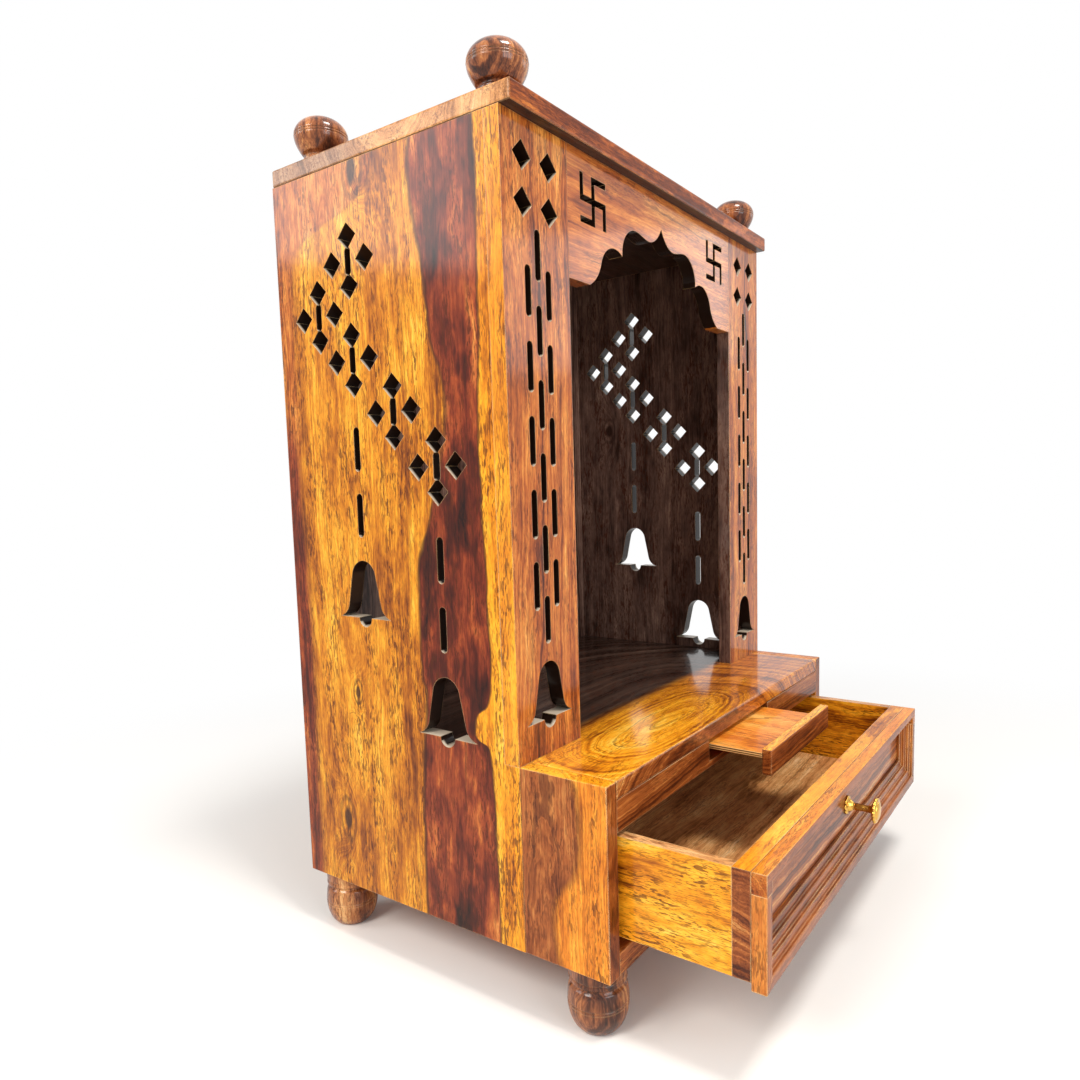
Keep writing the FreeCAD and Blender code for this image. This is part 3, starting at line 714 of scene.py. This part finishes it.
def ply_edges(b, node, plies):
    """Stripe = sine of the height in the sheet, plies half turns in all, where the face looks sideways."""
    low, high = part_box(node)
    edge = b.step(b.math("ABSOLUTE", b.looks()[2]), *SIDEWAYS_EDGE)
    layer = b.times(b.minus(b.axes["Z"], low.z), plies * math.pi / (high.z - low.z))
    stripe = b.step(b.math("SINE", layer), *PLY_EDGE)
    b.colour = b.mix(edge, b.colour, b.mix(stripe, tone(DARK_PLY), tone(PALE_PLY)))


# %% [markdown]
# Last comes the lacquer: a clear coat that is smoother than the wood below it. The wood is a little
# hollow in every dash, and the coat only follows the slow waves left by the sander. Along each
# arris the colour turns paler, partly wear from the sandpaper and partly a painted highlight where
# the lacquer catches light. The Bevel node finds the arris: its rounded normal leaves the true one
# only near an edge.

# %% Lacquer
ARRIS_RADIUS = 1.4 * MM
ARRIS_EDGE, ARRIS_IN_CROWD = (0.998, 0.86), (0.4, 0.2)
DASH_HEIGHT, FIBRE_HEIGHT, WAVE_HEIGHT = -0.8, 0.45, 1.6
WOOD_BUMP, COAT_BUMP = (0.24, 0.4 * MM), (0.10, 0.6 * MM)
WOOD_SHEEN, WOOD_ROUGHNESS, COAT_IOR, COAT_ROUGHNESS = 0.05, (0.22, 0.30), 1.4, 0.11


def lacquer(b, gloss, wear_and_highlight):
    """Joins colour, roughness, bumps and the clear coat to the shader."""
    eased = b.add("Bevel", {"Radius": ARRIS_RADIUS}, samples=4)
    facing = b.add("VectorMath", {0: eased, 1: b.add("NewGeometry", output="True Normal")}, output="Value",
                   operation="DOT_PRODUCT")
    # Paler arris: partly wear, partly a painted highlight.
    worn_and_lit = b.times(b.step(facing, *ARRIS_EDGE), b.times_plus(b.crowd, *ARRIS_IN_CROWD))
    b.colour = b.mix(b.times(worn_and_lit, wear_and_highlight, clamp=True), b.colour, tone(ARRIS_WEAR_AND_HIGHLIGHT))
    wave = b.layer(b.spot, *SANDER)
    relief = b.times_plus(b.dash, DASH_HEIGHT, b.times(b.fibre, FIBRE_HEIGHT))
    relief = b.times_plus(wave, WAVE_HEIGHT, relief)
    s = b.shader.inputs
    s["Specular IOR Level"].default_value = WOOD_SHEEN
    b.feed(s["Base Color"], b.colour)
    b.feed(s["Roughness"], b.times_plus(b.fibre, *WOOD_ROUGHNESS))
    b.feed(s["Normal"], b.bump(relief, *WOOD_BUMP, Normal=eased))
    s["Coat Weight"].default_value = gloss
    s["Coat IOR"].default_value = COAT_IOR
    s["Coat Roughness"].default_value = COAT_ROUGHNESS
    b.feed(s["Coat Normal"], b.bump(wave, *COAT_BUMP, Normal=eased))


# %% [markdown]
# One function runs the layers in order. Its arguments are what one would say of a board: which way
# the grain runs, which way the face looks, where the pith was, and where the heartwood begins.

# %% The plank material
SHADED_PICK = 0.8


def plank(name, grain, face, seed, light=SAP, pith=(0.10, 0.06), bow=0.0, bow_at=0.0, borders=(), knots=(),
          bands=38.0, stripes=1.0, mottle=1.0, flecks=1.0, gloss=0.5, wear_and_highlight=1.0, turns=(), cut=None,
          shades=(), plies=None):
    """turns, cut and plies are the arguments of turn, cut_walls and ply_edges. A shade is (axis, start,
    end, palette, share): past that place the colour comes from the palette by that share. Some shades
    are the wood's own tone, and some are painted shade."""
    b = Bench(name)
    measure(b, grain, face, seed)
    cut_from_trunk(b, pith, bow, bow_at, knots)
    figure(b, bands, stripes, mottle)
    woods(b, light, borders)
    for axis, sign, tones in turns:
        turn(b, axis, sign, tones)
    for axis, start, end, tones, share in shades:
        past = b.times(b.step(b.axes[axis], start, end), share)
        b.colour = b.mix(past, b.colour, b.ramp(b.times(b.pick, SHADED_PICK), tones))
    dashes(b, flecks)
    if cut is not None:
        node, outer = cut
        cut_walls(b, node, face, outer)
    if plies is not None:
        ply_edges(b, *plies)
    lacquer(b, gloss, wear_and_highlight)
    return b.material


# %% [markdown]
# ## Choosing the planks
#
# Heights and depths below are in metres in the part's own frame. The left side is the plank that
# everybody sees first: a yellow strip at the front edge, then a wandering tongue of heartwood, then
# broad yellow sapwood with knots, and a strip at the back that is dark below and russet above, where
# it widens under the roof.

# %% Side panels
def side_line(pairs):
    """(back from the frame's face, up from the case's foot) in millimetres, as (height, depth)."""
    return [(z_base + up * MM, y_frame + back * MM) for back, up in pairs]


FRONT_BORDER = side_line([(31, 0), (32, 40), (33, 130), (34, 165), (35, 190), (44, 204), (55, 216), (46, 236),
                          (34, 260), (33, 330), (35, 400), (38, 470), (36, 540), (32, 600), (31, 700), (31, 797)])
HEART_BORDER = side_line([(132, 0), (131, 90), (127, 191), (120, 244), (125, 263), (125, 357), (117, 398),
                          (106, 420), (101, 439), (84, 500), (79, 540), (82, 565), (94, 600), (100, 660),
                          (112, 730), (115, 760), (113, 797)])
REAR_BORDER = side_line([(345, 0), (345, 300), (318, 420), (303, 520), (304, 660), (299, 708), (254, 738),
                         (210, 750), (184, 764), (167, 782), (164, 797)])
LOW_BORDER = side_line([(303, 0), (305, 120), (302, 260), (305, 400), (312, 500), (345, 620), (345, 797)])
KNOTS = [(z_base + 0.080, y_frame + 0.259, 0.013), (z_base + 0.783, y_frame + 0.195, 0.014),
         (z_base + 0.235, y_frame + 0.228, 0.007)]
SIDE_BORDERS = [(FRONT_BORDER, 0.0014, HEART, False, 0.7), (HEART_BORDER, 0.0026, SAP, True, 0.7),
                (REAR_BORDER, 0.008, RUSSET, True, 0.15), (LOW_BORDER, 0.008, HEART, True, 0.15)]
x_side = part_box("side_panel_left")[0].x
BROAD = {"stripes": 0.6, "mottle": 1.15, "flecks": 1.15, "borders": SIDE_BORDERS}
# The inner faces of both sides take the shaded umber palette, a painted shade for the dark inside the shrine.
left_side = plank("sheesham_left_side", "Z", "X", 1, light=GOLD, pith=(y_frame + 0.235, x_side - 0.012), bow=0.10,
                  bow_at=z_base + 0.12, knots=KNOTS, cut=("side_panel_left", -1), turns=[("X", 1, SHADED_UMBER)], **BROAD)
right_side = plank("sheesham_right_side", "Z", "X", 7, pith=(y_frame + 0.05, 0.33), bow=-0.08, bow_at=z_base + 0.5,
                   knots=[(z_base + 0.55, y_frame + 0.26, 0.011)], cut=("side_panel_right", 1),
                   turns=[("X", -1, SHADED_UMBER)], **BROAD)
print("knots in the left side:", len(KNOTS))

# %% [markdown]
# The other boards are cut from different parts of the trunk, so each has its own seed, its own pith
# and its own palette: russet for the front frame, gold for the desk and drawer sides, a cooler brown
# for the turned work. The left edge of the left stile shows sapwood, so that with the strip behind
# it the corner reads as one bright post.

# %% Front frame and roof
STILE = {"light": RUSSET, "bands": 50, "stripes": 0.7, "mottle": 0.8, "gloss": 0.8}
frame_left = plank("sheesham_stile_left", "Z", "Y", 2, pith=(-0.36, 0.02), turns=[("X", -1, GOLD)],
                   cut=("front_stile_left", -1), **STILE)
# The right stile's inner edge takes the shaded umber palette, a painted shade.
frame_right = plank("sheesham_stile_right", "Z", "Y", 3, pith=(0.36, 0.03), turns=[("X", -1, SHADED_UMBER)],
                    cut=("front_stile_right", -1), **STILE)
arch_wood = plank("sheesham_arch_rail", "X", "Y", 4, light=RUSSET, pith=(1.0, 0.02), bands=42, stripes=0.5,
                  mottle=0.7, flecks=0.7, gloss=1.0, cut=("arch_rail", -1))
# The underside takes the shade palette, a painted shade under the overhang and over the shrine. The roof also turns
# darker towards the back.
roof_wood = plank("sheesham_roof", "X", "Z", 5, light=BUFF, pith=(0.10, 0.84), bow=0.4, bow_at=0.1, stripes=0.8,
                  mottle=0.8, flecks=0.8, turns=[("Z", 1, RUSSET), ("Z", -1, SHADE), ("Y", -1, RUSSET)],
                  shades=[("Y", y_frame + 0.15, y_frame + 0.22, SHADED_UMBER, 0.6)])
print("nodes in the roof's wood:", len(roof_wood.node_tree.nodes))

# %% [markdown]
# The desk was cut just above the pith, so its rings show as long ovals. Its front edge is painted
# darker than its top, as painted shade, and behind the frame the shrine's dark is painted on it, as
# painted shade. The fronts of the base sides are painted darker in the same way.

# %% Desk and base
desk_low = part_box("desk_board")[0]
desk_pith = (desk_low.y + 50 * MM, desk_low.z + 6 * MM)
# Painted shade: brown on the front edge, and the shade palette on the part behind the frame.
desk_wood = plank("sheesham_desk", "X", "Z", 6, light=GOLD, pith=desk_pith, bow=-1.9, bow_at=-0.09, bands=48,
                  stripes=1.1, mottle=0.9, flecks=0.7, gloss=0.8, wear_and_highlight=2.0, turns=[("Y", -1, BROWN)],
                  shades=[("X", -0.06, 0.13, AMBER, 1.0), ("X", 0.08, 0.26, RUSSET, 0.6),
                          ("Y", y_frame + 0.008, y_frame + 0.032, SHADE, 1.0)])
BASE_BORDER = side_line([(-45, -2), (-36, 48), (-62, 98), (-68, 138), (-58, 190)])
# The fronts of both base sides take brown, a painted shade.
base_left = plank("sheesham_base_left", "Z", "X", 8, light=AMBER, pith=(y_frame - 0.02, -0.33), bow=0.3, bow_at=0.3,
                  stripes=0.8, mottle=0.8, wear_and_highlight=2.0, borders=[(BASE_BORDER, 0.006, BROWN, True, 0.3)],
                  turns=[("Y", -1, BROWN), ("Z", 1, GOLD)])
base_right = plank("sheesham_base_right", "Z", "X", 9, light=AMBER, pith=(y_frame - 0.06, 0.35), stripes=0.8,
                   wear_and_highlight=1.5, turns=[("Y", -1, BROWN), ("Z", 1, AMBER)])
QUIET = {"light": BROWN, "bands": 60, "mottle": 0.6}
apron_wood = plank("sheesham_apron", "X", "Y", 10, pith=(0.30, -0.10), flecks=0.6, **QUIET)
rail_wood = plank("sheesham_bottom_rail", "X", "Y", 11, pith=(0.02, -0.10), **QUIET)

# %% [markdown]
# The back and the floor take the shaded umber and the shade palettes, as painted shade for the dark
# inside the shrine, and the runners stay out of sight. From behind, the outer side of the back
# panel shows, so it gets the frame's russet.

# %% Back, floor and runners
back_wood = plank("sheesham_back", "Z", "Y", 14, light=SHADED_UMBER, pith=(0.05, 0.36), bands=30, flecks=0.5,
                  turns=[("Y", 1, RUSSET)])
floor_wood = plank("sheesham_floor", "X", "Z", 15, light=SHADE, pith=(0.0, 0.0), bands=30, stripes=0.5,
                   turns=[("Y", 1, RUSSET), ("Z", -1, RUSSET)])
hidden_wood = plank("sheesham_runners", "Y", "Z", 16, pith=(0.05, 0.0))
print("nodes in the desk's wood:", len(desk_wood.node_tree.nodes))

# %% [markdown]
# On the drawer, light from above is painted in: every edge that looks up is painted lighter, as
# painted light, while the front itself is brown. The same painted light lies on top of the tray's
# lip and of the upper moulding. The turned pieces are a cooler brown all round, and glossy.

# %% Drawer, tray and turned work
drawer_face = plank("sheesham_drawer_face", "X", "Y", 12, pith=(0.02, -0.24), flecks=0.6, wear_and_highlight=1.8,
                    turns=[("Z", 1, GOLD), ("Y", 1, AMBER)], **QUIET)
# The upper edges of the drawer sides take buff, a painted light.
drawer_wood = plank("sheesham_drawer_sides", "Y", "X", 13, light=GOLD, pith=(0.30, 0.22), bow=0.3, bands=70,
                    stripes=0.5, mottle=1.3, flecks=1.1, wear_and_highlight=1.4, turns=[("Z", 1, BUFF)])
lip_wood = plank("sheesham_tray_lip", "X", "Y", 17, pith=(0.26, -0.18), flecks=0.6, turns=[("Z", 1, GOLD)],
                 **QUIET)
STRIP = {"light": BROWN, "bands": 60, "stripes": 0.5, "mottle": 0.7, "flecks": 0.7}
ENDS = [("X", -1, RUSSET), ("X", 1, RUSSET)]
# The upper face of the top moulding takes amber, a painted light.
top_strip = plank("sheesham_moulding_top", "X", "Y", 19, pith=(0.16, -0.21), wear_and_highlight=1.6,
                  turns=[("Z", 1, AMBER), *ENDS], **STRIP)
low_strip = plank("sheesham_moulding_bottom", "X", "Y", 23, pith=(0.16, -0.21), wear_and_highlight=2.2, **STRIP)
side_strip = plank("sheesham_moulding_upright", "Z", "Y", 20, pith=(0.30, -0.21), wear_and_highlight=2.2, turns=ENDS, **STRIP)
turned_wood = plank("sheesham_turned", "Z", "Y", 18, light=LATHED, pith=(0.0, 0.0), bands=40, stripes=0.8,
                    mottle=1.3, gloss=0.9, wear_and_highlight=0.3)
print("nodes in the turned wood:", len(turned_wood.node_tree.nodes))

# %% [markdown]
# Both plywood sheets were peeled, so their pith lies only a little below the face, and the rings
# open into broad waves. The tray's sheet has five plies, the drawer's bottom three.

# %% Plywood
PITH_BELOW = 0.03
PEELED = {"bow": 0.6, "bands": 45, "flecks": 0.6, "stripes": 0.7, "gloss": 0.35, "wear_and_highlight": 0.4}
tray_ply = plank("plywood_tray", "Y", "Z", 21, light=VENEER, pith=(0.02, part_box("tray_board")[0].z - PITH_BELOW),
                 plies=("tray_board", 5), **PEELED)
bottom_ply = plank("plywood_drawer_bottom", "X", "Z", 22, light=BUFF,
                   pith=(0.02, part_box("drawer_bottom")[0].z - PITH_BELOW), plies=("drawer_bottom", 3), **PEELED)
print("nodes in the plywood:", len(tray_ply.node_tree.nodes))

# %% [markdown]
# ## Brass
#
# Cast brass that hands have polished: a metal with a warm colour, brighter on the petals' crests and
# darker, slightly green-brown, in the hollows where polish never reaches.

# %% Brass
HOLLOW_BRASS, CLEAN_BRASS = "7a5420", "e6b455"
GRIME_WAVES, GRIME_DETAIL, GRIME_ROUGH = 420.0, 3.0, 0.6
HOLLOW_EDGE, CLEAN_SHARE = (0.40, 0.53), (0.4, 0.7)
BRASS_ROUGHNESS, BRASS_BUMP = (0.18, 0.14), (0.15, 0.2 * MM)


def brass(name):
    """Metal whose colour and roughness vary with a fine noise; hollows are found by pointiness."""
    b = Bench(name)
    grime = b.noise(b.add("TexCoord", output="Object"), GRIME_DETAIL, GRIME_ROUGH, scale=GRIME_WAVES)
    hollow = b.step(b.add("NewGeometry", output="Pointiness"), *HOLLOW_EDGE)
    clean = b.times(hollow, b.times_plus(grime, *CLEAN_SHARE), clamp=True)
    b.feed(b.shader.inputs["Base Color"], b.mix(clean, tone(HOLLOW_BRASS), tone(CLEAN_BRASS)))
    b.feed(b.shader.inputs["Roughness"], b.times_plus(grime, *BRASS_ROUGHNESS))
    b.feed(b.shader.inputs["Normal"], b.bump(grime, *BRASS_BUMP))
    b.shader.inputs["Metallic"].default_value = 1.0
    return b.material


knob_brass = brass("cast_brass")
print("nodes in the brass:", len(knob_brass.node_tree.nodes))

# %% [markdown]
# ## Finishing each piece
#
# Each piece, a carried-over board or a new one, gets one slot with its material.

# %% Assign the finishes
FINISH = {
    "side_panel_left": left_side, "side_panel_right": right_side,
    "front_stile_left": frame_left, "front_stile_right": frame_right, "arch_rail": arch_wood,
    "roof_board": roof_wood, "desk_board": desk_wood, "base_side_left": base_left, "base_side_right": base_right,
    "apron": apron_wood, "bottom_rail": rail_wood, "back_panel": back_wood, "floor_panel": floor_wood,
    "drawer_runner_left": hidden_wood, "drawer_runner_right": hidden_wood,
    "tray_rail_left": hidden_wood, "tray_rail_right": hidden_wood,
    "drawer_front": drawer_face, "drawer_side_left": drawer_wood, "drawer_side_right": drawer_wood,
    "drawer_back": hidden_wood, "drawer_bottom": bottom_ply, "tray_board": tray_ply, "tray_lip": lip_wood,
}


def finish(piece, material):
    """The piece shows this one material on all its faces."""
    piece.data.materials.clear()
    piece.data.materials.append(material)


for node, material in FINISH.items():
    finish(boards.get(node, nodes[node]), material)
for piece in turned_pieces:
    finish(piece, turned_wood)
for name, piece in strips.items():
    finish(piece, {"reeded_top": top_strip, "reeded_bottom": low_strip}.get(name, side_strip))
for piece in (knob_rose, knob_head):
    finish(piece, knob_brass)
print("finishes:", len({m.name for m in FINISH.values()}))

# %% [markdown]
# ## The studio
#
# A pale floor that fades into a white surround. The floor keeps the shadow near the piece. The eye
# and reflections see the surround as pure white, while the light it sends to the object is a softer
# fill.

# %% Floor and surround
FLOOR_TONE, FLOOR_ROUGHNESS, FLOOR_SHEEN = "ebe9e6", 0.9, 0.1
WHITE = (1.0, 1.0, 1.0, 1.0)
FADE_FROM, FADE_TO = 0.45, 1.5
REACH = 12.0
SOFT_FILL, FULL_WHITE = 0.45, 1.0


def seen_directly(tree):
    """1 for rays that the eye, a reflection or clear lacquer sends out, and 0 for all others."""
    rays = tree.nodes.new("ShaderNodeLightPath").outputs
    seen = rays["Is Camera Ray"]
    for other in ("Is Glossy Ray", "Is Transmission Ray"):
        either = tree.nodes.new("ShaderNodeMath")
        either.operation = "MAXIMUM"
        tree.links.new(seen, either.inputs[0])
        tree.links.new(rays[other], either.inputs[1])
        seen = either.outputs[0]
    return seen


def fading_floor(name, near, far):
    """Pale paint round the piece, which turns into white light between two distances."""
    b = Bench(name)
    b.shader.inputs["Base Color"].default_value = tone(FLOOR_TONE)
    b.shader.inputs["Roughness"].default_value = FLOOR_ROUGHNESS
    b.shader.inputs["Specular IOR Level"].default_value = FLOOR_SHEEN
    share = b.times(b.step(b.length(b.add("TexCoord", output="Object")), near, far), seen_directly(b.tree))
    glow = b.add("Emission", {"Color": WHITE, "Strength": FULL_WHITE})
    mixed = b.add("MixShader", {0: share, 1: b.shader.outputs[0], 2: glow})
    b.tree.links.new(mixed, b.tree.nodes["Material Output"].inputs[0])
    return b.material


floor_mesh = bpy.data.meshes.new("floor")
floor_mesh.from_pydata([(-REACH, -REACH, 0), (REACH, -REACH, 0), (REACH, REACH, 0), (-REACH, REACH, 0)], [],
                       [(0, 1, 2, 3)])
floor = put("floor", floor_mesh)
floor.data.materials.append(fading_floor("pale_floor", FADE_FROM, FADE_TO))

world = bpy.data.worlds.new("surround")
bpy.context.scene.world = world
world.use_nodes = True
sky = world.node_tree
strength = sky.nodes.new("ShaderNodeMapRange")
strength.inputs["To Min"].default_value = SOFT_FILL
strength.inputs["To Max"].default_value = FULL_WHITE
sky.links.new(seen_directly(sky), strength.inputs["Value"])
sky.links.new(strength.outputs[0], sky.nodes["Background"].inputs["Strength"])
sky.nodes["Background"].inputs["Color"].default_value = WHITE
print("floor is plain to", FADE_FROM, "m and white from", FADE_TO, "m")

# %% [markdown]
# Three soft lamps light the piece. The main one stands to the left, so that the side is the bright
# face and the front lies in open shade, as in the picture. Two dimmer cards stand where the eye would
# see them mirrored in the lacquer: one behind on the left, for the upper part of the side, and one in
# front on the right, for the frame.

# %% Lamps
def lamp(name, place, aim, size, watts, colour):
    """A soft lamp at a place, turned towards an aim."""
    data = bpy.data.lights.new(name, "AREA")
    data.shape = "RECTANGLE"
    data.size, data.size_y = size
    data.energy = watts
    data.color = colour
    light = put(name, data)
    back = np.subtract(place, aim) / np.linalg.norm(np.subtract(place, aim))
    side = np.cross((0, 0, 1), back)
    side /= np.linalg.norm(side)
    stand = np.eye(4)
    stand[:3, 0], stand[:3, 1], stand[:3, 2], stand[:3, 3] = side, np.cross(back, side), back, place
    light.matrix_world = Matrix(stand.tolist())
    light.visible_camera = False


LAMPS = [
    ("key", (-2.1, 0.3, 1.9), (-0.2, 0.0, 0.5), (0.9, 0.9), 38, (1.0, 0.96, 0.9)),
    ("top", (-0.3, -1.0, 3.0), (0.0, -0.1, 0.3), (0.7, 0.7), 62, (1.0, 0.97, 0.92)),
    ("front", (-0.9, -2.6, 1.2), (0.1, 0.0, 0.5), (1.6, 1.6), 42, (0.95, 0.97, 1.0)),
    ("side_card", (-2.2, 2.4, 2.1), (-0.3, 0.2, 0.8), (1.3, 1.1), 30, (1.0, 1.0, 1.0)),
    ("frame_card", (1.8, -1.25, 1.22), (0.0, 0.0, 0.75), (1.0, 0.5), 3.5, (1.0, 1.0, 1.0)),
]
for settings in LAMPS:
    lamp(*settings)
print("watts:", {name: watts for name, place, aim, size, watts, colour in LAMPS})

bpy.context.scene.view_settings.view_transform = "Standard"

# %% [markdown]
# ## Update the scene
#
# The view layer is updated once more, so that every placement above is current.

# %% Update
bpy.context.view_layer.update()
